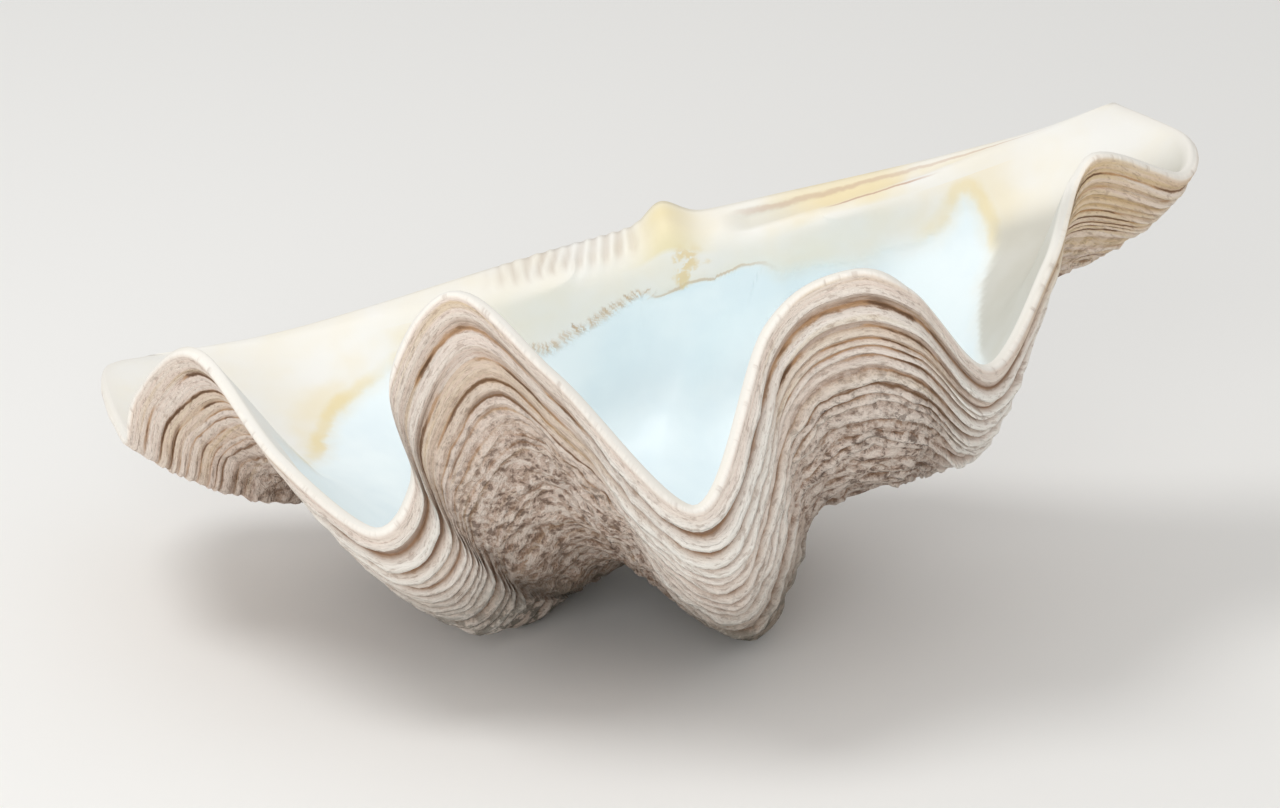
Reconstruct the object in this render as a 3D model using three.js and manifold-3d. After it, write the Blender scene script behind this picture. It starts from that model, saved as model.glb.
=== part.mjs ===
// One valve of a giant clam, lying hollow side up on the backs of its two lowest folds.
// Millimetres, +Z up. The valve is worked out in its own growth frame first: the umbo (the beak the
// shell grew from) is at the origin, X runs along the hinge line, -Y points to the wavy margin and
// +Z points out of the hollow. It is then leant over to the way it rests, and its lowest points are
// worn flat, so the part's origin is under the middle of its bounding box, on the surface it lies on.
import * as THREE from "three";
import Module from "manifold-3d";
import { mergeVertices } from "three/addons/utils/BufferGeometryUtils.js";

// The growing margin, from the byssal end of the hinge line round to the far end.
const MARGIN = [
  [-400, -15, -8], // end of the hinge line
  [-426, -74, 5],
  [-407, -194, -8], // first fold, shallow
  [-386, -213, 28],
  [-340, -272, 59], // crest
  [-302, -318, -8],
  [-253, -333, -67], // second fold
  [-218, -336, -42],
  [-213, -369, 35],
  [-162, -370, 83], // crest
  [-115, -390, 24],
  [-45, -390, -85], // third fold, the deepest
  [27, -340, 6],
  [79, -332, 25], // crest
  [117, -323, 2],
  [156, -260, -79], // fourth fold
  [214, -172, -43],
  [253, -173, 18], // crest
  [310, -129, -21], // fifth fold, shallow
  [323, -82, -9],
  [282, -4, 3], // end of the hinge line
];
const GROWTH_TURN = THREE.MathUtils.degToRad(162); // turn about the hinge line from the margin back to the umbo
const RIM = 8; // thickness of the wall at the margin
const THICKENING = 40; // extra wall thickness gained from the margin to the umbo
const FOLD_FILL = 0.8; // how fast the folds fade on the inside, going down from the margin
const EVEN_OFFSET = 4; // how soon the wall thickens square to the folds' mean shape instead of to each fold
const BEAK_FADE = 0.7; // how far the folds fade on the outside, toward the umbo
const BACK_WALL = { from: 0.42, to: 0.25 }; // where the inside leaves the growth spiral, and its span at the hinge
const PLATE = { width: 37, edge: 6, slope: 32, blend: 0.12 }; // hinge plate: width at the umbo, rounding, slope in degrees, run-out
const TOOTH = { x: -34, width: 15, height: 13, reach: 9 }; // the knob beside the umbo
const LEAN_SIDE = THREE.MathUtils.degToRad(-14.6); // about Y: the hinge's byssal end is the low one
const LEAN_BACK = THREE.MathUtils.degToRad(-5.6); // about X: the margin is lifted a little
const WEAR = 3; // depth worn off the lowest points
const SEGMENTS = { along: 80, rings: 24, inside: 14, back: 6, plate: 3 };

const AXIS = new THREE.Vector3(1, 0, 0);
const vec = (x, y, z) => new THREE.Vector3(x, y, z);
const { clamp, lerp, smoothstep, degToRad } = THREE.MathUtils;
const spline = (points) =>
  new THREE.CatmullRomCurve3(points, false, "catmullrom", 0.5);

const marginPoints = MARGIN.map((p) => vec(...p));
const margin = spline(marginPoints);
// The same curve with the folds averaged out of it.
const evenMargin = spline(
  marginPoints.map((_, i) => {
    const reach = Math.min(3, i, marginPoints.length - 1 - i);
    const near = marginPoints.slice(i - reach, i + reach + 1);
    return near
      .reduce((sum, p) => sum.add(p), vec(0, 0, 0))
      .divideScalar(near.length);
  }),
);

// A growth line is the margin shrunk to s and turned about the hinge line in step with the shrinking.
function growth(s, u, fill = 0) {
  const t = clamp(u, 0, 1);
  return margin
    .getPoint(t)
    .lerp(evenMargin.getPoint(t), fill)
    .applyAxisAngle(AXIS, GROWTH_TURN * (1 - s))
    .multiplyScalar(s);
}

// Direction square to the wall, into the hollow.
function inward(s, u, fill) {
  const e = 2e-3;
  const alongGrowth = growth(s + e, u, fill).sub(growth(s - e, u, fill));
  const alongMargin = growth(s, u + e, fill).sub(growth(s, u - e, fill));
  return alongGrowth.cross(alongMargin).normalize();
}

// Outside of the wall, its folds fading over the beak.
function outside(s, u) {
  return growth(s, u, BEAK_FADE * (1 - smoothstep(s, 0, 0.5)));
}

// Inside of the wall, s and u as on the outside.
function inside(s, u) {
  const depth = 1 - s;
  const fill = FOLD_FILL * depth;
  return growth(s, u, fill).addScaledVector(
    inward(s, u, clamp(EVEN_OFFSET * depth, fill, 1)),
    RIM + THICKENING * depth,
  );
}

// Back edge of the hinge plate, raised to a knob by the tooth.
function toothAt(x) {
  return Math.exp(-(((x - TOOTH.x) / TOOTH.width) ** 2));
}
function hingeBack(x) {
  const s = Math.abs(x);
  const u = x < 0 ? 0 : 1;
  const base = growth(s, u);
  const middle = 1 - smoothstep(s, 0.7, 1);
  const up = inward(s, u, 0).multiplyScalar(RIM).lerp(vec(0, -5, 5), middle);
  base.add(up);
  base.z += TOOTH.height * toothAt(base.x);
  return base;
}

// Front edge of the hinge plate.
function hingeFront(x) {
  const s = Math.abs(x);
  const back = hingeBack(x);
  const slope = Math.min(0.9 * GROWTH_TURN * (1 - s), degToRad(PLATE.slope));
  const width = PLATE.width * (1 - x * x);
  const reach = TOOTH.reach * toothAt(back.x);
  return back.add(
    vec(0, -Math.cos(slope) * width - reach, -Math.sin(slope) * width),
  );
}

// One line of the inside, from the margin down the wall and up the back wall to the edge of the hinge plate.
function insideLine(u) {
  const end = Math.round(u); // the nearer end of the hinge line
  const side = end === 0 ? -1 : 1;
  const near = 1 - smoothstep(Math.abs(u - end), 0, PLATE.blend);
  const wallPoint = (s) => {
    const shift = hingeFront(side * s).sub(inside(s, end));
    return inside(s, u).addScaledVector(shift, near);
  };
  const line = [];
  for (let i = 0; i <= SEGMENTS.inside; i++)
    line.push(wallPoint(lerp(1, BACK_WALL.from, i / SEGMENTS.inside)));
  const low = line[line.length - 1];
  const leave = low
    .clone()
    .sub(wallPoint(BACK_WALL.from + 0.01))
    .normalize();
  const front = hingeFront(-BACK_WALL.to * Math.cos(Math.PI * u));
  const span = front.distanceTo(low);
  const upright = smoothstep(Math.abs(u - end), 0, 0.3);
  const arrive = front
    .clone()
    .sub(low)
    .normalize()
    .lerp(vec(0, -0.3, 0.95), upright)
    .normalize();
  const wall = new THREE.CubicBezierCurve3(
    low,
    low.clone().addScaledVector(leave, span * 0.38),
    front.clone().addScaledVector(arrive, -span * 0.38),
    front,
  );
  for (let i = 1; i <= SEGMENTS.back; i++)
    line.push(wall.getPoint(i / SEGMENTS.back));
  return line;
}

// The closed skin: outside, rounded rim, inside, hinge plate, and the strip along the back of the hinge.
function skin() {
  const positions = [];
  const faces = [];
  const add = (p) => positions.push(p.x, p.y, p.z) / 3 - 1;
  const quad = (a, b, c, d) => faces.push(a, b, c, a, c, d);
  const { along, rings, inside: deep, back, plate } = SEGMENTS;

  const umbo = add(vec(0, 0, 0));
  const outer = [];
  for (let j = 0; j <= along; j++) {
    const column = [];
    for (let i = 0; i < rings; i++)
      column.push(add(outside(1 - i / rings, j / along)));
    column.push(umbo);
    outer.push(column);
  }
  for (let j = 0; j < along; j++)
    for (let i = 0; i < rings; i++)
      quad(outer[j][i], outer[j][i + 1], outer[j + 1][i + 1], outer[j + 1][i]);

  const inner = [];
  for (let j = 0; j <= along; j++) inner.push(insideLine(j / along).map(add));
  const rows = deep + back;
  for (let j = 0; j < along; j++)
    for (let i = 0; i < rows; i++)
      quad(inner[j][i], inner[j + 1][i], inner[j + 1][i + 1], inner[j][i + 1]);

  // Rounded edge of the margin.
  const rim = [];
  for (let j = 0; j <= along; j++) {
    const lift = growth(1.003, j / along);
    rim.push(add(lift.addScaledVector(inward(1, j / along, 0), RIM / 2)));
  }
  for (let j = 0; j < along; j++) {
    quad(outer[j][0], outer[j + 1][0], rim[j + 1], rim[j]);
    quad(rim[j], rim[j + 1], inner[j + 1][0], inner[j][0]);
  }
  faces.push(rim[0], inner[0][0], outer[0][0]);
  faces.push(rim[along], outer[along][0], inner[along][0]);

  // Hinge plate, from the edge the inside ends at to the back of the hinge line.
  const place = (i) =>
    i <= deep
      ? lerp(1, BACK_WALL.from, i / deep)
      : lerp(BACK_WALL.from, BACK_WALL.to, (i - deep) / back);
  const edge = [];
  for (let i = 0; i <= rows; i++) edge.push([inner[0][i], -place(i)]);
  for (let j = 1; j < along; j++)
    edge.push([
      inner[j][rows],
      -BACK_WALL.to * Math.cos((Math.PI * j) / along),
    ]);
  for (let i = rows; i >= 0; i--) edge.push([inner[along][i], place(i)]);
  const band = edge.map(([index, x], k) => {
    const corner = k === 0 || k === edge.length - 1;
    const front = vec(...positions.slice(3 * index, 3 * index + 3));
    const rear = hingeBack(x);
    const across = front.distanceTo(rear);
    const crown = front.clone().lerp(rear, 0.25);
    crown.z += Math.min(PLATE.edge, 0.3 * across);
    const top = new THREE.QuadraticBezierCurve3(front, crown, rear);
    const line = [index];
    for (let i = 1; i <= plate; i++)
      line.push(corner ? index : add(top.getPoint(i / plate)));
    return line;
  });
  for (let k = 0; k < band.length - 1; k++)
    for (let i = 0; i < plate; i++)
      quad(band[k][i], band[k + 1][i], band[k + 1][i + 1], band[k][i + 1]);

  // Strip along the back of the hinge, matched by distance along the hinge line.
  const outerBack = [
    ...outer[0].slice(0, -1),
    ...outer[along].slice().reverse(),
  ];
  const innerBack = band.map((line) => line[plate]);
  const xOf = (index) => positions[3 * index];
  let a = 0;
  let b = 0;
  while (a < outerBack.length - 1 || b < innerBack.length - 1) {
    const nextOuter =
      a < outerBack.length - 1 ? xOf(outerBack[a + 1]) : Infinity;
    const nextInner =
      b < innerBack.length - 1 ? xOf(innerBack[b + 1]) : Infinity;
    if (nextOuter <= nextInner) {
      faces.push(outerBack[a], innerBack[b], outerBack[a + 1]);
      a++;
    } else {
      faces.push(outerBack[a], innerBack[b], innerBack[b + 1]);
      b++;
    }
  }

  const whole = [];
  for (let k = 0; k < faces.length; k += 3) {
    const [p, q, r] = faces.slice(k, k + 3);
    if (p !== q && q !== r && r !== p) whole.push(p, q, r);
  }
  return new THREE.BufferGeometry()
    .setAttribute("position", new THREE.Float32BufferAttribute(positions, 3))
    .setIndex(whole);
}

const wasm = await Module();
wasm.setup();

function toSolid(geometry) {
  const bare = geometry.clone();
  for (const name of Object.keys(bare.attributes))
    if (name !== "position") bare.deleteAttribute(name);
  const merged = mergeVertices(bare, 1e-3);
  return new wasm.Manifold(
    new wasm.Mesh({
      numProp: 3,
      vertProperties: merged.attributes.position.array,
      triVerts: new Uint32Array(merged.index.array),
    }),
  );
}

function toGeometry(solid) {
  const mesh = solid.getMesh();
  return new THREE.BufferGeometry()
    .setAttribute(
      "position",
      new THREE.BufferAttribute(mesh.vertProperties, mesh.numProp),
    )
    .setIndex(new THREE.BufferAttribute(mesh.triVerts, 1));
}

// Lean the valve to the way it rests and put it over the origin.
const valveGeometry = skin();
valveGeometry.applyMatrix4(new THREE.Matrix4().makeRotationY(LEAN_SIDE));
valveGeometry.applyMatrix4(new THREE.Matrix4().makeRotationX(LEAN_BACK));
valveGeometry.computeBoundingBox();
const box = valveGeometry.boundingBox;
const middle = box.getCenter(vec(0, 0, 0));
valveGeometry.translate(-middle.x, -middle.y, -box.min.z - WEAR);

// Wear the lowest points flat at Z = 0.
const ground = new THREE.BoxGeometry(2000, 2000, 200).translate(0, 0, -100);
const worn = toSolid(valveGeometry).subtract(toSolid(ground));

const clam = new THREE.Group();
const valve = new THREE.Mesh(
  toGeometry(worn),
  new THREE.MeshStandardMaterial({
    color: 0xd9cdbd,
    roughness: 0.7,
    metalness: 0,
    flatShading: true,
  }),
);
valve.name = "clam_valve";
clam.add(valve);

export default clam;
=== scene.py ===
import math

import bpy
import numpy as np
from mathutils import Matrix, Vector


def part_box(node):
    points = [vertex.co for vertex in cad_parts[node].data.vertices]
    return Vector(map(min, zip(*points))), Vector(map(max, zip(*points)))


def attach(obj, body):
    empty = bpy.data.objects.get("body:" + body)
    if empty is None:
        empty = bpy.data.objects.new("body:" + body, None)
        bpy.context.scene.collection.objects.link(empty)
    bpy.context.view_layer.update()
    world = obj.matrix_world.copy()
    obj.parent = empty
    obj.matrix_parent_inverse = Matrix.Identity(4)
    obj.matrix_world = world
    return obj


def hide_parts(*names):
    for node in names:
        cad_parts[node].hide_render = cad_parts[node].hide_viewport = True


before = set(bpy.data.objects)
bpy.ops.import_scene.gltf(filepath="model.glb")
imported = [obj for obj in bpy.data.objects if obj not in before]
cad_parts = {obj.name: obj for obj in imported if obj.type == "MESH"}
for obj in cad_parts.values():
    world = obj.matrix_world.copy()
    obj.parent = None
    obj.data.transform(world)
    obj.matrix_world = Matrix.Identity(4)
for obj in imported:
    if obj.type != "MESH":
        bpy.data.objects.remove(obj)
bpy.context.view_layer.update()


# Millimetres, in the valve's growth frame: the umbo at the origin, X along the hinge line,
# -Y towards the wavy margin, +Z out of the hollow. s runs from 0 at the umbo to 1 at the margin,
# u from 0 at the byssal end of the hinge line, round the margin, to 1 at its far end.

valve = {
    "margin": [
        (-400, -15, -8), (-426, -74, 5), (-407, -194, -8), (-386, -213, 28), (-340, -272, 59),
        (-302, -318, -8), (-253, -333, -67), (-218, -336, -42), (-213, -369, 35), (-162, -370, 83),
        (-115, -390, 24), (-45, -390, -85), (27, -340, 6), (79, -332, 25), (117, -323, 2),
        (156, -260, -79), (214, -172, -43), (253, -173, 18), (310, -129, -21), (323, -82, -9),
        (282, -4, 3),
    ],
    "growthTurn": math.radians(162),
    "rim": 8.0,               # wall at the margin
    "thickening": 40.0,       # extra wall from the margin to the umbo
    "foldFill": 0.8,          # how fast the folds fade on the inside
    "evenOffset": 4.0,        # how fast the direction of the wall's thickness loses the folds
    "beakFade": 0.7,          # how far the folds fade over the beak
    "backWall": (0.42, 0.25), # where the inside leaves the spiral, and its span at the hinge
    "plateWidth": 37.0,       # the hinge plate, front to back
    "plateEdge": 6.0,         # height of its crown
    "plateSlope": math.radians(32),
    "plateBlend": 0.12,       # how much of u the plate takes to ease into the wall
    "toothAt": -34.0,         # the hinge tooth's place along the hinge line
    "toothWidth": 15.0,
    "toothHeight": 13.0,
    "toothReach": 9.0,
    "leanSide": math.radians(-14.6),
    "leanBack": math.radians(-5.6),
    "wear": 3.0,              # depth worn off where it rests
    "ragged": (1.1, 0.8),     # how uneven the margin is, in broad and in fine waves
    "rimRound": 2.2,          # how far the rim bulges past the margin
    "columns": 300,
    "layers": 26,             # strong growth layers that are modelled one by one
    "layerStep": 0.0145,      # growth between two layers, as a part of s
    "layerRise": 5.0,         # how far a layer's edge stands out, on the backs of the folds
    "plainRows": 50,          # rows from the last modelled layer back to the umbo
    "insideRows": 38,
    "backRows": 22,
    "plateRows": 12,
    "rounding": 40,           # passes that round the front edge of the hinge plate
    "evening": 420,           # passes that round the inside's folds into smooth channels
    "rimRows": 4,
}
marginPoints = np.array(valve["margin"], float)
lastPoint = len(marginPoints) - 1


# The margin with its folds averaged out: each point is the mean of the points up to three steps away.
def averaged(i):
    reach = min(3, i, lastPoint - i)
    return marginPoints[i - reach:i + reach + 1].mean(0)


evenPoints = np.array([averaged(i) for i in range(lastPoint + 1)])


# An eased step from 0 at low to 1 at high: 3t^2 - 2t^3.
def smooth(x, low, high):
    t = np.clip((x - low) / (high - low), 0, 1)
    return t * t * (3 - 2 * t)


def unit(v):
    return v / (np.linalg.norm(v, axis=-1, keepdims=True) + 1e-12)


# Catmull-Rom curve through the points, its ends carried straight on.
def curveAt(points, t):
    ends = np.vstack([2 * points[0] - points[1], points, 2 * points[-1] - points[-2]])
    place = np.clip(t, 0, 1) * (len(points) - 1)
    i = np.minimum(place.astype(int), len(points) - 2)
    part = (place - i)[..., None]
    p0, p1, p2, p3 = ends[i], ends[i + 1], ends[i + 2], ends[i + 3]
    leave, arrive = (p2 - p0) / 2, (p3 - p1) / 2
    square = 3 * (p2 - p1) - 2 * leave - arrive
    cube = 2 * (p1 - p2) + leave + arrive
    return p1 + leave * part + square * part**2 + cube * part**3


# A growth line is the margin shrunk to s and turned about the hinge line by growthTurn * (1 - s).
def growth(s, u, fill=0.0):
    s, u, fill = np.broadcast_arrays(np.asarray(s, float), u, fill)
    line = curveAt(marginPoints, u)
    line = line + (curveAt(evenPoints, u) - line) * fill[..., None]
    turn = valve["growthTurn"] * (1 - s)
    cosine, sine = np.cos(turn), np.sin(turn)
    x, y, z = line[..., 0], line[..., 1], line[..., 2]
    return np.stack([x, cosine * y - sine * z, sine * y + cosine * z], -1) * s[..., None]


# Square to the wall, into the hollow: the growth direction crossed with the margin's direction.
def inward(s, u, fill=0.0):
    step = 2e-3
    alongGrowth = growth(s + step, u, fill) - growth(s - step, u, fill)
    alongMargin = growth(s, np.minimum(u + step, 1), fill) - growth(s, np.maximum(u - step, 0), fill)
    return unit(np.cross(alongGrowth, alongMargin))


# The outside is the growth surface, with its folds fading over the beak.
def outsideWall(s, u):
    return growth(s, u, valve["beakFade"] * (1 - smooth(s, 0, 0.5)))


# The inside is the growth surface with its folds partly filled, moved in by the wall's thickness.
def insideWall(s, u):
    s, u = np.broadcast_arrays(np.asarray(s, float), u)
    depth = 1 - s
    fill = valve["foldFill"] * depth
    square = inward(s, u, np.clip(valve["evenOffset"] * depth, fill, 1))
    return growth(s, u, fill) + square * (valve["rim"] + valve["thickening"] * depth)[..., None]


# The tooth's height from 0 to 1: a bell curve about its place on the hinge line.
def toothAt(x):
    return np.exp(-(((x - valve["toothAt"]) / valve["toothWidth"]) ** 2))


# Back edge of the hinge plate at x, -1 to 1 along the hinge line: the wall's own edge, lifted, with the
# tooth's bump.
def hingeBack(x):
    s, u = np.abs(x), np.where(x < 0, 0.0, 1.0)
    base = growth(s, u)
    middle = (1 - smooth(s, 0.7, 1))[..., None]
    lift = inward(s, u) * valve["rim"] * (1 - middle) + np.array([0, -5.0, 5.0]) * middle
    back = base + lift
    back[..., 2] += valve["toothHeight"] * toothAt(back[..., 0])
    return back


# Front edge of the hinge plate: the back edge moved forward and down by a width that fades to the ends.
def hingeFront(x):
    back = hingeBack(x)
    slope = np.minimum(0.9 * valve["growthTurn"] * (1 - np.abs(x)), valve["plateSlope"])
    width = valve["plateWidth"] * (1 - x * x)
    reach = valve["toothReach"] * toothAt(back[..., 0])
    return back + np.stack([0 * x, -np.cos(slope) * width - reach, -np.sin(slope) * width], -1)


# Lines of the inside from the margin to the hinge plate's front edge: the wall, eased onto the plate's
# edge near the two ends, then a cubic that rises up the back wall.
def insideLines(u):
    end = np.round(u)
    side = np.where(end < 0.5, -1.0, 1.0)
    near = (1 - smooth(np.abs(u - end), 0, valve["plateBlend"]))[:, None]
    leaveAt, hingeSpan = valve["backWall"]

    def wallAt(s):
        s = np.full(u.shape, s)
        return insideWall(s, u) + (hingeFront(side * s) - insideWall(s, end)) * near

    rows = [wallAt(s) for s in np.linspace(1, leaveAt, valve["insideRows"] + 1)]
    low = rows[-1]
    leave = unit(low - wallAt(leaveAt + 0.01))
    front = hingeFront(-hingeSpan * np.cos(np.pi * u))
    span = np.linalg.norm(front - low, axis=-1, keepdims=True)
    arrive = unit(front - low)
    upright = smooth(np.abs(u - end), 0, 0.3)[:, None]
    arrive = unit(arrive + (np.array([0, -0.3, 0.95]) - arrive) * upright)
    handle = 0.38 * span    # how far the cubic's two inner points lie from its ends
    first, second = low + leave * handle, front - arrive * handle
    for t in np.linspace(0, 1, valve["backRows"] + 1)[1:]:
        rest = 1 - t
        rows.append(low * rest**3 + 3 * first * t * rest**2 + 3 * second * t * t * rest + front * t**3)
    return np.array(rows)


# Smooth random values between -1 and 1 on a cubic lattice: the eight corners' values, eased between.
def fieldNoise(points, seed):
    table = np.random.default_rng(seed).uniform(-1, 1, (32, 32, 32))
    cell = np.floor(points).astype(int)
    part = points - cell
    part = part * part * (3 - 2 * part)
    total = 0
    for corner in np.ndindex(2, 2, 2):
        weight = np.prod(np.where(corner, part, 1 - part), -1)
        index = (cell + corner) % 32
        total = total + weight * table[index[..., 0], index[..., 1], index[..., 2]]
    return total


# The same noise on a flat place (x, y): a slice of the lattice half way up.
def flatNoise(x, y, seed):
    x, y = np.broadcast_arrays(x, y)
    return fieldNoise(np.stack([x, y, np.full(x.shape, 0.5)], -1), seed)


# Octaves of the noise added up, each with half the size and half the weight of the one before.
def cloud(points, seed, octaves=3):
    return sum(fieldNoise(points * 2**k, seed + k) / 2**k for k in range(octaves)) / (2 - 2**(1 - octaves))


# Columns stand at even distances along the margin.
fine = np.linspace(0, 1, 2001)
steps = np.linalg.norm(np.diff(growth(1.0, fine), axis=0), axis=1)
travelled = np.concatenate([[0], np.cumsum(steps)])
columns = valve["columns"]
across = np.linspace(0, 1, columns + 1)
u = np.interp(across * travelled[-1], travelled, fine)
marginLength = travelled[-1]

# How far each place on the margin lies in the back of a fold (1) or on a crest between folds (-1).
foldBack = np.clip((curveAt(evenPoints, u) - curveAt(marginPoints, u))[:, 2] / 60, -1, 1)

# Rows follow the growth layers. Going back from the margin, each layer slopes slowly out to a sharp edge,
# then falls back under it to the next layer. s = 1 - step * (layer + wander).
rowsInLayer = np.array([0.0, 0.14, 0.3, 0.44, 0.54, 0.6, 0.82])
standsOut = np.array([0.0, 0.42, 0.8, 0.97, 1.0, 0.62, 0.12])    # how far out each of those rows stands
darkOf = np.array([0.9, 0.25, 0.0, 0.0, 0.0, 0.6, 0.85])         # how dark: painted shade under the edge and in the crevice, with some dirt
brightOf = np.array([0.0, 0.35, 0.8, 1.0, 1.0, 0.25, 0.0])       # how light: clean white shell, with a painted highlight where the ledge faces up
edgeRow = 0.54    # the row at a layer's sharp edge
layerCount = valve["layers"]
layer = (np.arange(layerCount)[:, None] + rowsInLayer).ravel()
layer = np.append(layer, layerCount)[:, None]
profile, dark, bright, isEdge = (
    np.append(np.tile(values, layerCount), 0.0)[:, None]
    for values in (standsOut, darkOf, brightOf, rowsInLayer == edgeRow)
)
widths = np.random.default_rng(5).uniform(0.5, 1.5, layerCount)
edges = np.concatenate([[0], np.cumsum(widths)]) * layerCount / widths.sum()
wander = 0.9 * flatNoise(layer * 0.23, across * 9, 12) + 0.2 * flatNoise(layer * 0.5, across * 31, 13)
growthAt = np.interp(layer, np.arange(layerCount + 1), edges) + wander * smooth(layer, 0, 4)
s = 1 - valve["layerStep"] * growthAt
lastS = s[-1]
plainLayers = 60    # layers that the plain rows stand for
plainPart = np.linspace(0, 1, valve["plainRows"] + 1)[1:, None] ** 1.25
s = np.vstack([s, lastS * (1 - plainPart)])
layer = np.vstack([layer, layerCount + plainLayers * plainPart]) + 0 * across
fill = np.zeros((valve["plainRows"], 1))
profile, dark, bright, isEdge = (
    np.vstack([part, fill]) + 0 * across for part in (profile, dark, bright, isEdge)
)
modelled = (layer <= layerCount) * 1.0
uGrid = u + 0 * s

outsidePlain = outsideWall(s, uGrid)
fade = valve["beakFade"] * (1 - smooth(s, 0, 0.5))
outward = -inward(np.maximum(s, 0.01), uGrid, fade)
growthWay = unit(growth(s + 1e-3, uGrid) - growth(s - 1e-3, uGrid))
pathStep = np.linalg.norm(np.diff(outsidePlain, axis=0), axis=-1)
age = np.vstack([np.zeros(columns + 1), np.cumsum(pathStep, axis=0)])   # distance back from the margin

# Each layer has its own strength, which changes along the margin, and is strong on the backs of the folds.
backOfFold = smooth(foldBack + 0 * s, -0.25, 0.65)
number = np.floor(layer + 1e-6)
strength = np.clip(0.85 + 0.9 * flatNoise(across * 9 + number * 3.7, number * 0.83, 21), 0.1, 1.5)
young = smooth(age, 0, 16) * (1 - smooth(age, 200, 430))
# The third fold keeps its layers over its crest too.
thirdFold = smooth(u, 0.54, 0.6) * (1 - smooth(u, 0.72, 0.78))
layered = np.maximum(0.22 + 0.78 * backOfFold, 0.55 * thirdFold) * (0.3 + 0.7 * smooth(across, 0.1, 0.26))
rise = valve["layerRise"] * layered * strength * young * modelled
chips = 1 + 0.3 * flatNoise(across * 150, number * 1.7 + 0 * s, 22)
chips = chips + 0.2 * flatNoise(across * 61, number * 0.9 + 0 * s, 23)
relief = rise * profile * chips
relief = relief + 0.5 * fieldNoise(outsidePlain / 8, 24) * smooth(age, 6, 30)

# Older shell is scaly and chipped: small plateaus of two sizes on a coarse swell.
old = smooth(age, 40, 120) * smooth(s, 0.02, 0.25)
scaly = old * (1 - 0.6 * backOfFold)
plateaus = smooth(fieldNoise(outsidePlain / 17, 31), -0.1, 0.12) * 2.3
plateaus = plateaus + smooth(fieldNoise(outsidePlain / 10, 32), 0.0, 0.2) * 2.2
relief = relief + scaly * (plateaus - 2.0) + old * cloud(outsidePlain / 46, 33) * 1.6

# The margin itself is a little ragged.
broad, narrow = valve["ragged"]
ragged = broad * flatNoise(across * 46, 0.0 * s, 41) + narrow * flatNoise(across * 110, 0.0 * s, 42)
ragged = ragged * (1 - smooth(age, 0, 12))
outside = outsidePlain + outward * relief[..., None] + growthWay * (ragged - isEdge * rise * 0.3)[..., None]

# Masks for the finish: painted shade, with some dirt, under the ledges; the seams between layers; and the
# ledges, painted light as clean shell and as highlight.
crevice = modelled * layered * np.clip(strength, 0, 1) * dark * smooth(age, 3, 16)
seam = modelled * np.clip(strength, 0, 1) * dark ** 2 * smooth(age, 3, 12)
ledgeWhiteAndHighlight = modelled * layered * bright * np.clip(strength, 0, 1.2) * smooth(age, 3, 12)


# The inside, then the rim between the two walls: half an ellipse from one to the other.
inside = insideLines(u)
evened = smooth(np.arange(len(inside)) / valve["insideRows"], 0.04, 0.5)[:, None, None] * 0.5
for _ in range(valve["evening"]):    # each pass moves a point towards its two neighbours along the margin
    inside[:-1, 1:-1] += (evened * (inside[:, :-2] + inside[:, 2:] - 2 * inside[:, 1:-1]) * 0.5)[:-1]
lastInside = inside.shape[0] - 1
rimPart = np.linspace(0, 1, valve["rimRows"] + 2)[1:-1, None, None]
rimOut = growthWay[0] * (valve["rimRound"] * np.sin(np.pi * rimPart) ** 0.5)
rim = outsidePlain[0] + (inside[0] - outsidePlain[0]) * (0.5 - 0.5 * np.cos(np.pi * rimPart)) + rimOut
raggedRim = (1 - rimPart) * ragged[0][None, :, None] * growthWay[0]

# The hinge plate is a band from the inside's edge to the back of the hinge line: a quadratic curve over
# a crown.
leaveAt, hingeSpan = valve["backWall"]
ray = np.concatenate([
    np.linspace(1, leaveAt, valve["insideRows"] + 1),
    np.linspace(leaveAt, hingeSpan, valve["backRows"] + 1)[1:],
])
plateFront = np.concatenate([inside[:, 0], inside[-1, 1:-1], inside[::-1, -1]])
plateX = np.concatenate([-ray, -hingeSpan * np.cos(np.pi * u[1:-1]), ray[::-1]])
plateRear = hingeBack(plateX)
width = np.linalg.norm(plateFront - plateRear, axis=1)
crown = plateFront + (plateRear - plateFront) * 0.25
crown[:, 2] += np.minimum(valve["plateEdge"], 0.3 * width)
plateT = np.linspace(0, 1, valve["plateRows"] + 1)[1:, None, None]
platePlain = plateFront * (1 - plateT) ** 2 + 2 * crown * plateT * (1 - plateT) + plateRear * plateT ** 2


# Joins the grids into one closed mesh. Each grid is an array of vertex numbers, and each cell is two
# triangles.
class ClosedMesh:
    def __init__(self):
        self.points, self.triangles, self.count = [], [], 0

    def add(self, points):
        flat = points.reshape(-1, 3)
        numbers = np.arange(self.count, self.count + len(flat)).reshape(points.shape[:-1])
        self.points.append(flat)
        self.count += len(flat)
        return numbers

    def cells(self, grid, turned=False):
        a, b, c, d = grid[:-1, :-1], grid[1:, :-1], grid[1:, 1:], grid[:-1, 1:]
        if turned:
            b, d = d, b
        self.triangles += [np.stack([a, b, c], -1).reshape(-1, 3), np.stack([a, c, d], -1).reshape(-1, 3)]

    # A strip between two lines of vertices, each sorted by x: the line that is behind steps on.
    def strip(self, first, second, firstX, secondX):
        order = np.argsort(np.concatenate([firstX[1:], secondX[1:]]), kind="stable")
        fromFirst = order < len(firstX) - 1
        i = np.concatenate([[0], np.cumsum(fromFirst)])[:-1]
        j = np.concatenate([[0], np.cumsum(~fromFirst)])[:-1]
        nextFirst = first[np.minimum(i + 1, len(first) - 1)]
        nextSecond = second[np.minimum(j + 1, len(second) - 1)]
        last = np.where(fromFirst, nextFirst, nextSecond)
        self.triangles.append(np.stack([first[i], second[j], last], -1))

    def finished(self):
        faces = np.vstack(self.triangles)
        a, b, c = faces.T
        return np.vstack(self.points), faces[(a != b) & (b != c) & (c != a)]


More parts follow.
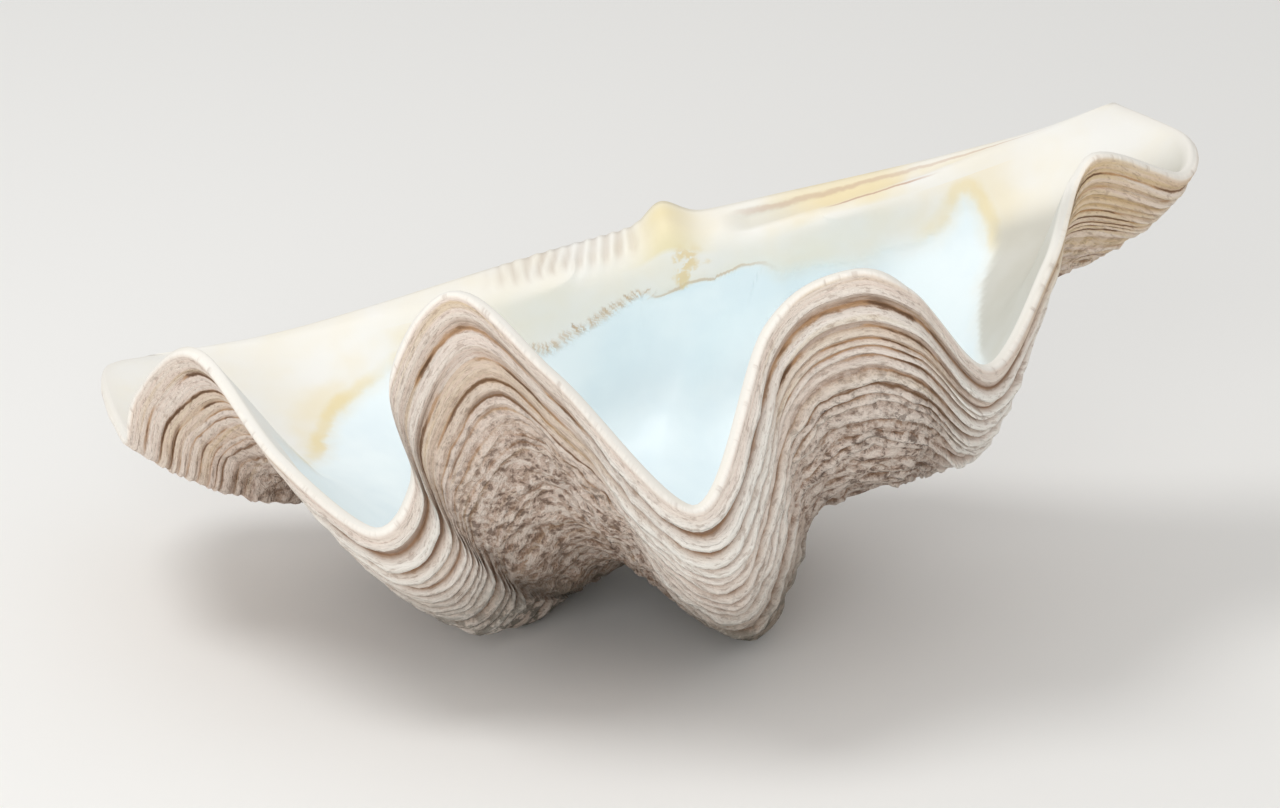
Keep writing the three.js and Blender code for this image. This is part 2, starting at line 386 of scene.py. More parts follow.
# Rounds a mesh: each pass moves a point by its share towards the mean of the points it is joined to.
def rounded(points, faces, share, passes):
    start = faces.ravel()
    end = np.roll(faces, -1, axis=1).ravel()
    use = share[start] > 0
    start, end = start[use], end[use]
    joins = np.maximum(np.bincount(start, minlength=len(points)), 1)
    for _ in range(passes):
        sums = [np.bincount(start, points[end, k], len(points)) for k in range(3)]
        points = points + share[:, None] * (np.stack(sums, -1) / joins[:, None] - points)
    return points


skin = ClosedMesh()
outsideNumbers = skin.add(outside)
outsideNumbers[-1] = outsideNumbers[-1, 0]     # all lines meet at the umbo
insideNumbers = skin.add(inside)
rimNumbers = skin.add(rim + raggedRim)
plateNumbers = skin.add(platePlain)
plateNumbers[:, 0], plateNumbers[:, -1] = insideNumbers[0, 0], insideNumbers[0, -1]
skin.cells(outsideNumbers)
skin.cells(insideNumbers, turned=True)
skin.cells(np.vstack([outsideNumbers[:1], rimNumbers, insideNumbers[:1]]), turned=True)
plateSeam = np.concatenate([insideNumbers[:, 0], insideNumbers[-1, 1:-1], insideNumbers[::-1, -1]])
skin.cells(np.vstack([plateSeam, plateNumbers]), turned=True)
for end, turned in ((0, True), (-1, False)):   # the rim's two ends are small fans
    fan = np.concatenate([outsideNumbers[:1, end], rimNumbers[:, end], insideNumbers[:1, end]])
    fan = fan[::-1] if turned else fan
    skin.triangles.append(np.stack([np.full(len(fan) - 2, fan[0]), fan[2:], fan[1:-1]], -1))
outerLine = np.concatenate([outsideNumbers[:-1, 0], outsideNumbers[::-1, -1]])
outerX = np.concatenate([outsidePlain[:-1, 0, 0], outsidePlain[::-1, -1, 0]])
skin.strip(outerLine, plateNumbers[-1], outerX, platePlain[-1, :, 0])
print("skin joined")


# The hinge plate's relief: small ridges square to the hinge line left of the tooth, a groove for the
# ligament right of it, and a smooth ridge between the groove and the hollow.
plateLook = {
    "ridgeStep": 9.5,
    "ridgeRise": 2.1,
    "ridges": (-175, -42),    # where the ridges start and end along the hinge line
    "grooveDepth": 6.5,
    "groove": (2, 215),       # the same for the ligament's groove
}
plateAcross = plateT[..., 0] + 0 * plateX
x = platePlain[..., 0]
ridgesStart, ridgesEnd = plateLook["ridges"]
ridged = smooth(x, ridgesStart, ridgesStart + 35) * (1 - smooth(x, ridgesEnd - 20, ridgesEnd))
bend = 2.0 * flatNoise(x / 24, plateAcross * 2, 51) - 2.2 * plateAcross
ridgeWave = np.sin(2 * np.pi * x / plateLook["ridgeStep"] + bend)
ridged = ridged * smooth(plateAcross, 0.12, 0.5)
ridged = ridged * np.clip(0.75 + 0.7 * flatNoise(x / 17, plateAcross * 1.5, 53), 0, 1.2)

# The groove's front edge runs back towards the hinge line, and its rear edge follows that line.
grooveStart, grooveEnd = plateLook["groove"]
grooveFront = 0.3 + 0.1 * smooth(x, 0, 60) + 0.2 * smooth(x, 90, 210)
grooveRear = 0.86
inGroove = smooth(x, grooveStart, grooveStart + 22) * (1 - smooth(x, grooveEnd - 110, grooveEnd))
inGroove = inGroove * smooth(plateAcross, grooveFront, grooveFront + 0.13)
inGroove = inGroove * (1 - smooth(plateAcross, grooveRear - 0.12, grooveRear))
ridgeFade = smooth(plateAcross, 0.02, 0.2) * (1 - 0.6 * plateAcross)
grooveFade = 1 - 0.45 * smooth(x, 20, 110)
plateRelief = ridged * ridgeWave * plateLook["ridgeRise"] * ridgeFade
plateRelief = plateRelief - inGroove * plateLook["grooveDepth"] * grooveFade
plateRelief = plateRelief + 1.1 * fieldNoise(platePlain / 21, 52) * np.sin(np.pi * plateAcross)
plateShown = platePlain + plateRelief[..., None] * np.array([0, -0.5, 0.85])
plateShown[:, [0, -1]] = platePlain[:, [0, -1]]
ridgeShade = ridged * (0.5 - 0.5 * ridgeWave)

# Where the porcelain floor ends, as places on the inside: u in twentieths of the margin, and the part of
# the way from the margin to the hinge plate.
porcelainEdge = np.array([
    (4.6, 0.04), (4.1, 0.13), (2.6, 0.22), (1.55, 0.31), (1.15, 0.42), (1.03, 0.48), (1.4, 0.62),
    (2.0, 0.73), (3.0, 0.84), (4.3, 0.90), (5.6, 0.93), (6.9, 0.91), (8.65, 0.925), (10.5, 0.94),
    (12.6, 0.93), (15.35, 0.83), (17.55, 0.68), (18.3, 0.57), (19.5, 0.50), (19.75, 0.455), (19.3, 0.42),
    (18.1, 0.385), (16.8, 0.33), (15.9, 0.24), (15.5, 0.14), (15.3, 0.04),
])
wallShare = 0.65    # part of the way at which the back wall starts
insidePlace = np.concatenate([
    np.linspace(0, wallShare, valve["insideRows"] + 1),
    wallShare + (1 - wallShare) * np.linspace(0, 1, valve["backRows"] + 1)[1:],
])[:, None] + 0 * across


# Bilinear reading of the inside's points at places (u in twentieths, part of the way).
def insideAt(places):
    column = np.interp(places[:, 0] / 20, u, np.arange(columns + 1))
    row = np.interp(places[:, 1], insidePlace[:, 0], np.arange(lastInside + 1))
    i, j = np.minimum(row.astype(int), lastInside - 1), np.minimum(column.astype(int), columns - 1)
    down, over = (row - i)[:, None], (column - j)[:, None]
    upper = inside[i, j] * (1 - over) + inside[i, j + 1] * over
    lower = inside[i + 1, j] * (1 - over) + inside[i + 1, j + 1] * over
    return upper * (1 - down) + lower * down


edgeNumber = np.linspace(0, len(porcelainEdge) - 1, 700)
edgePlaces = curveAt(porcelainEdge, edgeNumber / edgeNumber[-1])
edgeLine = insideAt(edgePlaces)
edgeStep = np.linalg.norm(np.diff(edgeLine, axis=0), axis=-1)
edgeRun = np.concatenate([[0], np.cumsum(edgeStep)])

# Distance of each inside point to that edge in millimetres, positive on the porcelain, and the place on the
# edge that is nearest. A point is on the porcelain where a ray in the (u, part) plane crosses the edge an odd
# number of times.
flatInside = inside.reshape(-1, 3)
gap = np.linalg.norm(flatInside[:, None] - edgeLine[None, ::2], axis=-1)
nearest = gap.argmin(1) * 2
edgeGap = gap.min(1)
edgeStart = edgePlaces[::4] / (20, 1)
edgeEnd = np.roll(edgeStart, -1, axis=0)
alongEdge = edgeEnd - edgeStart
here = np.stack([u + 0 * insidePlace, insidePlace], -1).reshape(-1, 1, 2)
spans = (edgeStart[None, :, 1] > here[..., 1]) != (edgeEnd[None, :, 1] > here[..., 1])
edgeHeight = np.where(alongEdge[:, 1] == 0, 1e-9, alongEdge[:, 1])
slopeX = edgeStart[:, 0] + (here[..., 1] - edgeStart[:, 1]) * alongEdge[:, 0] / edgeHeight
within = (spans & (here[..., 0] < slopeX)).sum(1) % 2 == 1
porcelain = np.where(within, edgeGap, -edgeGap).reshape(inside.shape[:2])
nearKnot = edgeNumber[nearest].reshape(porcelain.shape)
nearRun = edgeRun[nearest].reshape(porcelain.shape)

# Which stretch of the edge a point is nearest to, by the number of the edge point above.
ochreArc = smooth(nearKnot, 0.0, 1.4) * (1 - smooth(nearKnot, 4.8, 6.2))
ochreArc = ochreArc + 0.8 * smooth(nearKnot, 16.5, 18) * (1 - smooth(nearKnot, 20.5, 21.6))
fringe = smooth(nearKnot, 5.8, 7) * (1 - smooth(nearKnot, 10.2, 11))
shelf = smooth(nearKnot, 10.4, 11.2) * (1 - smooth(nearKnot, 13.0, 14.6))

# The grey flank right of the porcelain.
greyFlank = smooth(u * 20, 15.0, 15.8) * (1 - smooth(u * 20, 18.4, 19.4)) * (1 - smooth(porcelain, -5, 1))
greyFlank = greyFlank * (1 - smooth(insidePlace, 0.34, 0.46))

# The porcelain lies a little lower than the rest, with a lip along the shelf under the hinge.
step = smooth(porcelain, -3, 4) * (1.3 + 2.4 * shelf * np.exp(-((porcelain / 22) ** 2)))
insideOut = unit(np.cross(np.gradient(inside, axis=0), np.gradient(inside, axis=1)))
lip = np.exp(-(((porcelain + 3) / 4.0) ** 2)) * shelf * 1.4
swell = 1.3 * cloud(inside / 70, 61) * smooth(insidePlace, 0.03, 0.1) * (1 - smooth(insidePlace, 0.9, 1))
insideRelief = (lip - step + swell) * smooth(insidePlace, 0.0, 0.06) * (1 - smooth(insidePlace, 0.93, 1))
insideRelief[:, [0, -1]] = 0
facing = np.sign((insideOut[20, columns // 2] * inward(0.8, 0.5)).sum())
insideShown = inside + insideOut * (facing * insideRelief)[..., None]

# From the growth frame to the part's frame: lean, then stand over the CAD node's box, in metres.
lowest, highest = (np.array(corner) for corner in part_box("clam_valve"))
leanSide = np.array(Matrix.Rotation(valve["leanSide"], 3, "Y"))
leanBack = np.array(Matrix.Rotation(valve["leanBack"], 3, "X"))
lean = leanBack @ leanSide
plainParts = (outsidePlain, inside, rim, platePlain)
plainPoints = np.vstack([part.reshape(-1, 3) for part in plainParts]) @ lean.T / 1000
middle = (plainPoints.min(0) + plainPoints.max(0)) / 2
umbo = (lowest + highest) / 2 - middle
umbo[2] = -plainPoints[:, 2].min() - valve["wear"] / 1000


# One number a point for each look, for the outside, inside, rim and hinge plate in turn.
def everyPart(outsideValue, insideValue, rimValue, plateValue):
    parts = [(outsideValue, outside), (insideValue, inside), (rimValue, rim), (plateValue, platePlain)]
    return np.concatenate([(value + np.zeros(grid.shape[:2])).ravel() for value, grid in parts])


# Points of the growth frame leant over and set down on the ground, in metres.
def placed(points):
    world = points @ lean.T / 1000 + umbo
    world[..., 2] = np.maximum(world[..., 2], 0)    # worn flat where it rests
    return world


skin.points = [part.reshape(-1, 3) for part in (outside, insideShown, rim + raggedRim, plateShown)]
points, faces = skin.finished()
frontLine = plateFront[np.abs(plateX) < 0.95]
toFront = np.linalg.norm(flatInside[:, None] - frontLine[None, ::3], axis=-1).min(1)
toFront = toFront.reshape(inside.shape[:2])
nearFront = everyPart(0.0, 1 - smooth(toFront, 4, 26), 0.0, 1 - smooth(plateAcross, 0.1, 0.55))
nearFront[[insideNumbers[0, 0], insideNumbers[0, -1]]] = 0
points = placed(rounded(points, faces, nearFront * 0.6, valve["rounding"]))
print("skin", len(points), "points", len(faces), "triangles, umbo at", umbo.round(4))


# Looks that the finish reads, one number a point.
fromMiddle = (across - 0.5) * marginLength
shrink = np.maximum(s, 0.15)
insideDepth = np.vstack([
    np.zeros(columns + 1), np.cumsum(np.linalg.norm(np.diff(inside, axis=0), axis=-1), axis=0),
])
nearTooth = np.exp(-(((x - valve["toothAt"]) / 22) ** 2)) * (1 - smooth(plateAcross, 0.75, 1.0) * 0.3)
rimWhite = 0.15 + 0.85 * smooth(rimPart[..., 0], 0.2, 0.75)
plateU = np.interp(plateX, [-1, 1], [-marginLength / 2, marginLength / 2])
looks = {
    "runAcross": everyPart(fromMiddle * shrink, fromMiddle, fromMiddle, plateU),
    "age": everyPart(age, insideDepth, 0.0, 300.0 + 40 * plateAcross),
    "layer": everyPart(layer, 0.0, 0.0, 0.0),
    "ledgeWhiteAndHighlight": everyPart(ledgeWhiteAndHighlight, 0.0, 1.0, 0.0),
    "crevice": everyPart(crevice, 0.0, 0.0, 0.0),
    "seam": everyPart(seam, 0.0, 0.0, 0.0),
    "foldBack": everyPart(foldBack, foldBack, foldBack, 0.0),
    "insideShell": everyPart(0.0, 1.0, smooth(rimPart[..., 0], 0.2, 0.7), 1.0),
    "rimBand": everyPart(0.3 * (1 - smooth(age, 0, 3)), 1 - smooth(insideDepth, 1, 8), rimWhite, 0.0),
    "porcelain": everyPart(-99.0, porcelain, -99.0, -99.0),
    "edgeRun": everyPart(0.0, nearRun, 0.0, 0.0),
    "ochreArc": everyPart(0.0, ochreArc, 0.0, 0.0),
    "fringe": everyPart(0.0, fringe, 0.0, 0.0),
    "shelf": everyPart(0.0, shelf, 0.0, 0.0),
    "hinge": everyPart(0.0, 0.0, 0.0, smooth(plateAcross, -0.1, 0.25)),
    "tooth": everyPart(0.0, 0.0, 0.0, nearTooth),
    "ridgeShade": everyPart(0.0, 0.0, 0.0, ridgeShade),
    "groove": everyPart(0.0, 0.0, 0.0, inGroove),
    "plateAcross": everyPart(-1.0, -1.0, -1.0, plateAcross),
    "greyFlank": everyPart(0.0, greyFlank, 0.0, 0.0),
    "nearHinge": everyPart(0.0, smooth(insidePlace, 0.8, 0.92), 0.0, 1.0),
    "plateX": everyPart(-999.0, inside[..., 0], -999.0, x),
}

pieceName = "clam_shell"
mesh = bpy.data.meshes.new(pieceName)
mesh.from_pydata(points, [], faces)
mesh.polygons.foreach_set("use_smooth", np.ones(len(faces), bool))
for name, values in looks.items():
    mesh.attributes.new(name, "FLOAT", "POINT").data.foreach_set("value", values.astype(np.float32))
mesh.validate()
shell = bpy.data.objects.new(pieceName, mesh)
bpy.context.scene.collection.objects.link(shell)
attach(shell, "root")
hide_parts("clam_valve")
print("mesh made")


# Shader maths as Python expressions: a Wire holds a value socket, and each operator adds its Math node.
class Wire:
    def __init__(self, finish, socket):
        self.finish, self.socket = finish, socket

    def maths(self, operation, first, second=0.0):
        return self.finish.node("ShaderNodeMath", {"operation": operation}, {0: first, 1: second})

    def __add__(self, other):
        return self.maths("ADD", self, other)

    def __sub__(self, other):
        return self.maths("SUBTRACT", self, other)

    def __rsub__(self, other):
        return self.maths("SUBTRACT", other, self)

    def __mul__(self, other):
        return self.maths("MULTIPLY", self, other)

    __radd__, __rmul__ = __add__, __mul__

    def __abs__(self):
        return self.maths("ABSOLUTE", self)

    def whole(self):
        return self.maths("FLOOR", self)

    def fraction(self):
        return self.maths("FRACT", self)

    def clip(self):
        return self.finish.node("ShaderNodeMath", {"operation": "ADD", "use_clamp": True}, {0: self, 1: 0.0})

    def ease(self, low, high):
        return self.finish.node(
            "ShaderNodeMapRange", {"interpolation_type": "SMOOTHSTEP"},
            {"Value": self, "From Min": low, "From Max": high, "To Min": 0.0, "To Max": 1.0},
        )

    # 1 where the value is within full of zero, 0 where it is past gone.
    def near(self, full, gone):
        return 1 - abs(self).ease(full, gone)


# A hex colour in linear light, with an alpha of 1.
def linear(hexColour):
    parts = [int(hexColour[k:k + 2], 16) / 255 for k in (0, 2, 4)]
    return tuple(p / 12.92 if p <= 0.04045 else ((p + 0.055) / 1.055) ** 2.4 for p in parts) + (1.0,)


# A material and the one way its nodes are made: type, then settings, then socket values or links.
class Finish:
    def __init__(self, name):
        self.material = bpy.data.materials.new(name)
        self.material.use_nodes = True
        self.tree = self.material.node_tree
        self.shader = self.tree.nodes["Principled BSDF"]

    def node(self, kind, settings=None, sockets=None, out=0):
        made = self.tree.nodes.new(kind)
        for key, value in (settings or {}).items():
            setattr(made, key, value)
        for key, value in (sockets or {}).items():
            self.put(made.inputs[key], value)
        return Wire(self, made.outputs[out])

    def put(self, socket, value):
        if isinstance(value, Wire):
            self.tree.links.new(value.socket, socket)
        elif isinstance(value, str):
            socket.default_value = linear(value)
        else:
            socket.default_value = value

    def look(self, name):
        return self.node("ShaderNodeAttribute", {"attribute_name": name}, out="Fac")

    def mix(self, share, first, second):
        settings = {"data_type": "RGBA", "clamp_factor": True}
        return self.node("ShaderNodeMix", settings, {0: share, 6: first, 7: second}, out=2)

    def place(self, x, y, z=0.0):
        return self.node("ShaderNodeCombineXYZ", None, {"X": x, "Y": y, "Z": z})

    def noise(self, vector, scale, detail=3.0, rough=0.55, bend=0.0):
        return self.node(
            "ShaderNodeTexNoise", None,
            {"Vector": vector, "Scale": scale, "Detail": detail, "Roughness": rough, "Distortion": bend},
        )

    def cells(self, vector, scale):
        return self.node("ShaderNodeTexVoronoi", None, {"Vector": vector, "Scale": scale})

    def bump(self, height, distance):
        return self.node("ShaderNodeBump", None, {"Height": height, "Distance": distance, "Strength": 1.0})


shellColours = {
    "chalk": "F5E8DC",         # layers near the margin
    "tan": "E3CBAC",
    # clean white shell with a painted highlight, on the ledges
    "ledgeWhiteAndHighlight": "FBF7EF",
    "under": "8B6B54",         # painted shade below the layers' edges and in small recesses, with some dirt
    # painted shade in the deepest recesses
    "deepShade": "68503F",
    "flakeHighlight": "F6E8DC",         # painted highlight on the scales' raised edges
    "old": "E2CBBB",
    "oldDark": "B59A86",
    # dirt and painted shade, darker low down near the ground
    "dirtAndShade": "7C7060",
    "grimeAndShade": "5C594F",
    "shadeBrown": "745D4C",
    "rust": "B98A5A",
    "seamDark": "5A3E2A",
    "ochreOut": "D9BC8C",
    "pink": "EACFC1",
    "cream": "F2F0EA",
    "creamShade": "DAD7C8",
    "grooveLine": "C4A08A",    # pinkish brown
    "creamWarm": "F2ECDD",
    "porcelain": "F1FAFC",
    "porcelainShade": "E9F4F8",
    "flank": "C2BFB4",
    "ochre": "EEDCAC",
    "stain": "E9D19C",
    "knob": "F0E2B8",
    "shelfLine": "C9A77C",
    "ridge": "AA937F",
    "rim": "ECE8E0",
}
colour = shellColours
finish = Finish(pieceName)
objectPlace = finish.node("ShaderNodeTexCoord", out="Object")
run, ageLook, layerLook = finish.look("runAcross"), finish.look("age"), finish.look("layer")
insideShell = finish.look("insideShell")
ledgeLook, creviceLook, foldLook = finish.look("ledgeWhiteAndHighlight"), finish.look("crevice"), finish.look("foldBack")
rimBand = finish.look("rimBand")

# Outside: fine growth lines along the margin, scales where it is older with painted shade in their recesses
# and painted highlights on their raised edges, and dirt with painted shade low down.
fineLines = finish.noise(finish.place(run * 0.012, ageLook * 0.42), 1.0, 3.0, 0.6, 0.2)
broadLines = finish.noise(finish.place(run * 0.006, ageLook * 0.11), 1.0, 2.0, 0.5)
blotch = finish.noise(objectPlace, 9.0, 3.0, 0.6)
grain = finish.noise(objectPlace, 160.0, 2.0, 0.65)
warp = finish.noise(finish.place(run * 0.05, ageLook * 0.05), 1.0, 2.0) * 1.6
scales = finish.cells(finish.place(run * 0.11 + warp, ageLook * 0.085 + warp * 0.7), 1.0)
smallScales = finish.cells(finish.place(run * 0.24 + warp, ageLook * 0.2 - warp, blotch * 2.0), 1.0)
flakes = finish.noise(objectPlace, 150.0, 4.0, 0.68, 0.2)
crinkle = finish.noise(finish.place(run * 0.11, ageLook * 0.3), 1.0, 3.0, 0.65)
older = ageLook.ease(25.0, 150.0)
crest = (1 - foldLook.ease(-0.2, 0.6)).clip()
scaly = (older * (0.35 + 0.65 * crest)).clip()

layerTint = finish.node(
    "ShaderNodeTexWhiteNoise", {"noise_dimensions": "1D"}, {"W": layerLook.whole()}, out="Value",
)
chalky = finish.mix(layerTint.ease(0.45, 1.0) * (0.25 + 0.5 * crest), colour["chalk"], colour["tan"])
base = finish.mix(older, chalky, colour["old"])
rightEnd = run.ease(400.0, 560.0) * (1 - older * 0.4)
base = finish.mix(rightEnd * broadLines.ease(0.3, 0.55) * 0.85, base, colour["ochreOut"])
base = finish.mix(ageLook.ease(150.0, 340.0) * 0.6, base, colour["oldDark"])
base = finish.mix(fineLines.ease(0.42, 0.62) * 0.4, base, colour["pink"])
base = finish.mix(blotch.ease(0.45, 0.75) * older * 0.6, base, colour["oldDark"])
tanLines = broadLines.ease(0.55, 0.7) * crest * (1 - older * 0.5)
base = finish.mix(tanLines * 0.6, base, colour["ochreOut"])
# The ledges are painted near-white: clean new shell, and a painted highlight where they face up.
base = finish.mix((ledgeLook * (0.45 + crinkle * 0.7)).clip(), base, colour["ledgeWhiteAndHighlight"])
# Painted shade: the crinkles' low places, the crevices under the ledges (with some dirt) and the scales'
# sunken edges are painted darker.
base = finish.mix((1 - crinkle.ease(0.36, 0.46)) * 0.32, base, colour["under"])
base = finish.mix((creviceLook * 1.1).clip(), base, colour["under"])
base = finish.mix(scales.ease(0.45, 0.8) * scaly * 0.35, base, colour["under"])
# Painted highlight on the raised flakes of the scales, and painted shade in the hollows between them.
base = finish.mix(flakes.ease(0.49, 0.56) * scaly * 0.9, base, colour["flakeHighlight"])
base = finish.mix((1 - flakes.ease(0.38, 0.47)) * scaly * 0.75, base, colour["deepShade"])
seamLook = finish.look("seam").ease(0.35, 0.75) * crest * (1 - older * 0.6)
patchy = finish.noise(finish.place(run * 0.012, ageLook * 0.05), 1.0, 3.0)
fromEdge = (layerLook + (crinkle - 0.5) * 0.25).fraction()
thinLine = abs(fromEdge - 0.5).ease(0.36, 0.47)
thinLine = thinLine * ageLook.ease(3.0, 10.0) * layerLook.ease(0.0, 0.8)
thinLine = thinLine * (1 - older * 0.8) * (0.35 + 0.65 * crest)
# Along the seams between layers: a rust-brown stain, and painted shade in the crevice.
base = finish.mix((seamLook * patchy.ease(0.4, 0.6) * 0.35).clip(), base, colour["rust"])
base = finish.mix((seamLook * patchy.ease(0.5, 0.6) * 0.7).clip(), base, colour["deepShade"])
base = finish.mix(thinLine * patchy.ease(0.42, 0.5) * 0.75, base, colour["rust"])
base = finish.mix(thinLine * patchy.ease(0.49, 0.56) * 0.85, base, colour["seamDark"])
height = finish.node("ShaderNodeSeparateXYZ", None, {"Vector": objectPlace}, out="Z")
# Painted shade with dirt, darker towards the bottom: the scaly shell low down, blotches near the ground, and
# specks where it meets the ground.
low = 1 - height.ease(0.0, 0.11)
base = finish.mix((1 - height.ease(0.02, 0.16)) * scaly * 0.75, base, colour["shadeBrown"])
base = finish.mix((low * blotch.ease(0.3, 0.65) * 0.8).clip(), base, colour["dirtAndShade"])
specks = finish.noise(objectPlace, 85.0, 3.0, 0.7)
base = finish.mix((1 - height.ease(0.01, 0.085)) * specks.ease(0.45, 0.55) * 0.85, base, colour["grimeAndShade"])

# Inside: porcelain floor, cream border, ochre stains along the edge of the porcelain.
porcelainLook = finish.look("porcelain")
wobble = (finish.noise(objectPlace, 55.0, 3.0) - 0.5) * 12.0
edgePlace = porcelainLook + wobble
soft = finish.noise(objectPlace, 14.0, 3.0)
inner = finish.mix(soft.ease(0.35, 0.7), colour["cream"], colour["creamWarm"])
floorColour = finish.mix(soft.ease(0.4, 0.7), colour["porcelain"], colour["porcelainShade"])
sharpEdge = finish.look("fringe") + finish.look("shelf")
onFloor = edgePlace.ease(-3.0, 5.0) * sharpEdge + edgePlace.ease(-14.0, 16.0) * (1 - sharpEdge)
inner = finish.mix(onFloor, inner, floorColour)
arcWidth = (edgePlace + 3.0).near(1.0, 8.0)
wideArc = (edgePlace + 10.0).near(4.0, 24.0)
inner = finish.mix(wideArc * finish.look("ochreArc") * soft.ease(0.3, 0.6) * 0.35, inner, colour["ochre"])
inner = finish.mix(arcWidth * finish.look("ochreArc") * soft.ease(0.25, 0.6) * 0.85, inner, colour["ochre"])
radial = finish.noise(finish.place(finish.look("edgeRun") * 0.28, porcelainLook * 0.02), 1.0, 2.0, 0.6)
nearEdge = (porcelainLook + radial * 16.0 - 8.0).near(1.5, 7.0)
fringeMarks = nearEdge * finish.look("fringe") * radial.ease(0.42, 0.62)
inner = finish.mix(fringeMarks * 0.75, inner, colour["shelfLine"])
shelfLine = (edgePlace + 1.0).near(0.5, 2.6)
inner = finish.mix(shelfLine * finish.look("shelf") * 0.55, inner, colour["shelfLine"])
inner = finish.mix(finish.look("greyFlank") * (0.45 + soft * 0.6), inner, colour["flank"])
hinge = finish.look("hinge")
inner = finish.mix(finish.look("ridgeShade") * hinge * (soft * 0.8), inner, colour["ridge"])
plateX = finish.look("plateX")
warmPatch = plateX.ease(20.0, 60.0) * (1 - plateX.ease(110.0, 160.0)) * hinge
inner = finish.mix(warmPatch * soft.ease(0.4, 0.65) * 0.55, inner, colour["ochre"])
inner = finish.mix((finish.look("tooth") * (0.5 + blotch * 0.9)).clip(), inner, colour["knob"])
drip = (plateX + 23.0 + wobble * 3.4).near(1.0, 9.0)
drip = drip * (1 - porcelainLook.ease(-3.0, 3.0)) * specks.ease(0.4, 0.52)
inner = finish.mix(drip * finish.look("nearHinge") * (1 - hinge) * 0.8, inner, colour["stain"])
groove = finish.look("groove")
plateAway = finish.look("plateAcross") + wobble * 0.012
rightOfTooth = plateX.ease(6.0, 30.0) * (1 - plateX.ease(190.0, 250.0))
inner = finish.mix(groove * (1 - plateX.ease(40.0, 75.0)) * 0.55, inner, colour["creamShade"])
inner = finish.mix(groove * plateX.ease(45.0, 85.0) * soft.ease(0.3, 0.55) * 0.6, inner, colour["ochre"])
rearLine = (plateAway - 0.8).near(0.01, 0.05)
inner = finish.mix(rearLine * rightOfTooth * (0.2 + soft * 0.4), inner, colour["grooveLine"])
frontLineX = plateX.ease(70.0, 90.0) * (1 - plateX.ease(130.0, 160.0))
frontShade = (plateAway - 0.43).near(0.01, 0.05)
inner = finish.mix(frontShade * frontLineX * 0.8, inner, colour["grooveLine"])

base = finish.mix(insideShell.ease(0.3, 0.7), base, inner)
base = finish.mix(rimBand * 0.85, base, colour["rim"])
finish.put(finish.shader.inputs["Base Color"], base)

glossy = insideShell.ease(0.3, 0.7)
roughOut = 0.78 + 0.14 * grain
roughIn = 0.52 - 0.08 * edgePlace.ease(-4.0, 8.0) + 0.1 * soft + 0.2 * rimBand
finish.put(finish.shader.inputs["Roughness"], roughOut + (roughIn - roughOut) * glossy)
finish.put(finish.shader.inputs["Coat Weight"], glossy * edgePlace.ease(-4.0, 8.0) * 0.07)
finish.put(finish.shader.inputs["Coat Roughness"], 0.16)
finish.put(finish.shader.inputs["Specular IOR Level"], 0.45)

# Relief finer than the mesh, in metres.
lineHeight = (fineLines - 0.5) * 0.9 + (broadLines - 0.5) * 0.4
scaleHeight = (0.5 - scales) * 0.7 + (0.5 - smallScales) * 0.4 + (flakes - 0.5) * 3.2
grainHeight = (grain - 0.5) * (0.3 + 0.35 * older) + (crinkle - 0.5) * 1.3
outsideHeight = lineHeight * (1 - scaly * 0.6) + scaleHeight * scaly + grainHeight
insideHeight = (soft - 0.5) * 0.25 + (grain - 0.5) * 0.03 + radial * finish.look("fringe") * nearEdge * 0.5
bumpHeight = (outsideHeight * (1 - glossy) + insideHeight * glossy) * (1 - rimBand * 0.8)
reliefDepth = 0.0022
finish.put(finish.shader.inputs["Normal"], finish.bump(bumpHeight, reliefDepth))
mesh.materials.append(finish.material)
print("finish made")

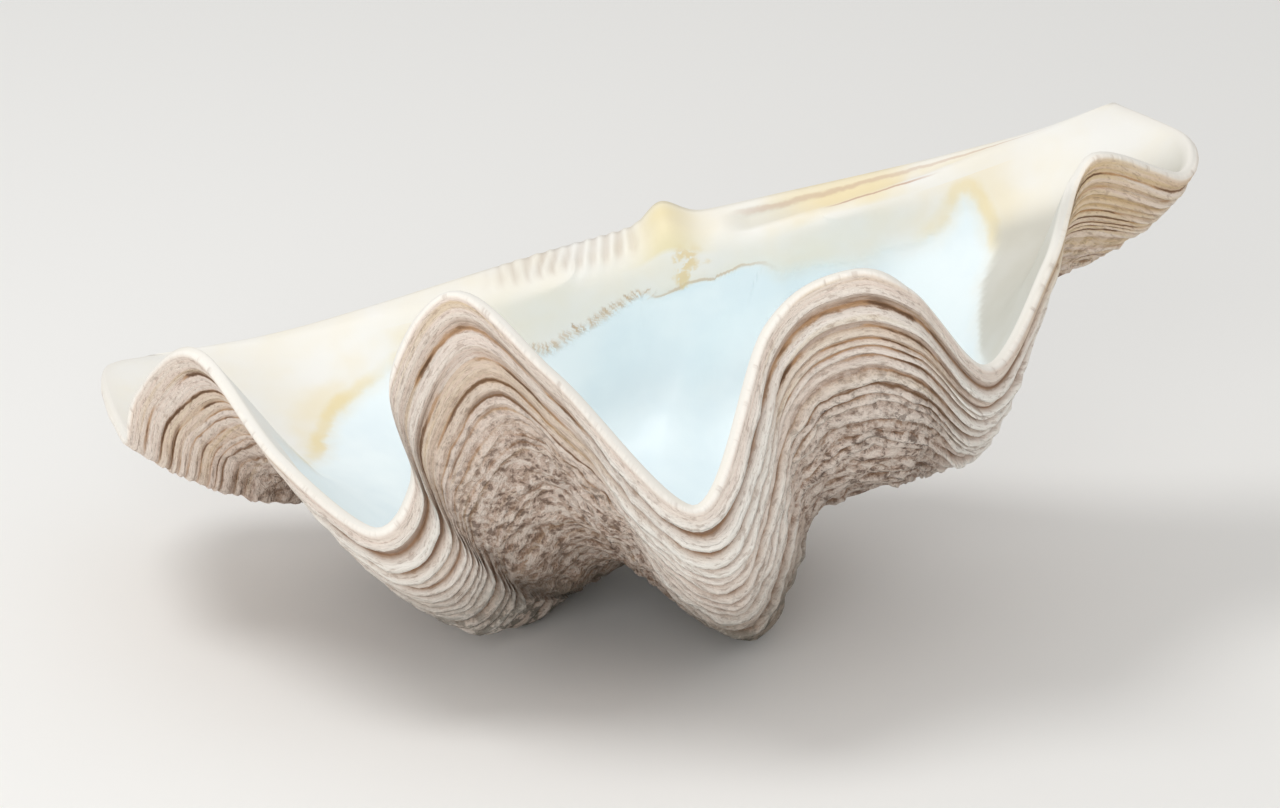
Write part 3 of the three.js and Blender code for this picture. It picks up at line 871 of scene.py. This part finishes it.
# Floor, light and camera. The camera's place is given from the umbo, in the part's frame.
studio = {
    "floor": "F4F3F0",
    "cameraFromUmbo": (-0.1615, -3.6914, 1.3493),
    "azimuth": -1.757,
    "elevation": 21.983,
    "roll": 1.108,
    "lens": 161.48,
    "sensor": 36.0,
    "sky": 0.64,
    "floorHalf": 6.0,
    "aim": (0, 0, 0.1),
    "lights": {              # place, size and power
        "key": ((-1.3, -0.2, 2.6), 1.1, 23),
        "front": ((-0.6, -3.2, 1.6), 1.6, 28),
    },
    "farthest": 50,
}
floorMesh = bpy.data.meshes.new("floor")
half = studio["floorHalf"]
floorCorners = [(-half, -half, 0), (half, -half, 0), (half, half, 0), (-half, half, 0)]
floorMesh.from_pydata(floorCorners, [], [(0, 1, 2, 3)])
floor = bpy.data.objects.new("floor", floorMesh)
bpy.context.scene.collection.objects.link(floor)
pale = Finish("pale_floor")
pale.put(pale.shader.inputs["Base Color"], studio["floor"])
pale.put(pale.shader.inputs["Roughness"], 0.9)
floorMesh.materials.append(pale.material)

world = bpy.data.worlds.new("studio")
bpy.context.scene.world = world
world.use_nodes = True
background = world.node_tree.nodes["Background"]
background.inputs["Color"].default_value = (1.0, 1.0, 1.0, 1.0)
background.inputs["Strength"].default_value = studio["sky"]


# A round soft light at a place, turned to its aim.
def softLight(name, place, aim, size, power):
    light = bpy.data.lights.new(name, "AREA")
    light.shape = "DISK"
    light.size, light.energy = size, power
    lamp = bpy.data.objects.new(name, light)
    lamp.location = place
    lamp.rotation_euler = (Vector(aim) - Vector(place)).to_track_quat("-Z", "Y").to_euler()
    bpy.context.scene.collection.objects.link(lamp)


for name, (place, size, power) in studio["lights"].items():
    softLight(name, place, studio["aim"], size, power)

camera = bpy.data.cameras.new("camera")
camera.lens, camera.sensor_width = studio["lens"], studio["sensor"]
camera.clip_end = studio["farthest"]
turn = Matrix.Rotation(math.radians(studio["azimuth"]), 4, "Z") \
    @ Matrix.Rotation(math.radians(90 - studio["elevation"]), 4, "X") \
    @ Matrix.Rotation(math.radians(studio["roll"]), 4, "Z")
viewer = bpy.data.objects.new("camera", camera)
viewer.matrix_world = Matrix.Translation(Vector(umbo) + Vector(studio["cameraFromUmbo"])) @ turn
bpy.context.scene.collection.objects.link(viewer)
bpy.context.scene.camera = viewer
bpy.context.scene.view_settings.view_transform = "Standard"
print("camera and lights set")
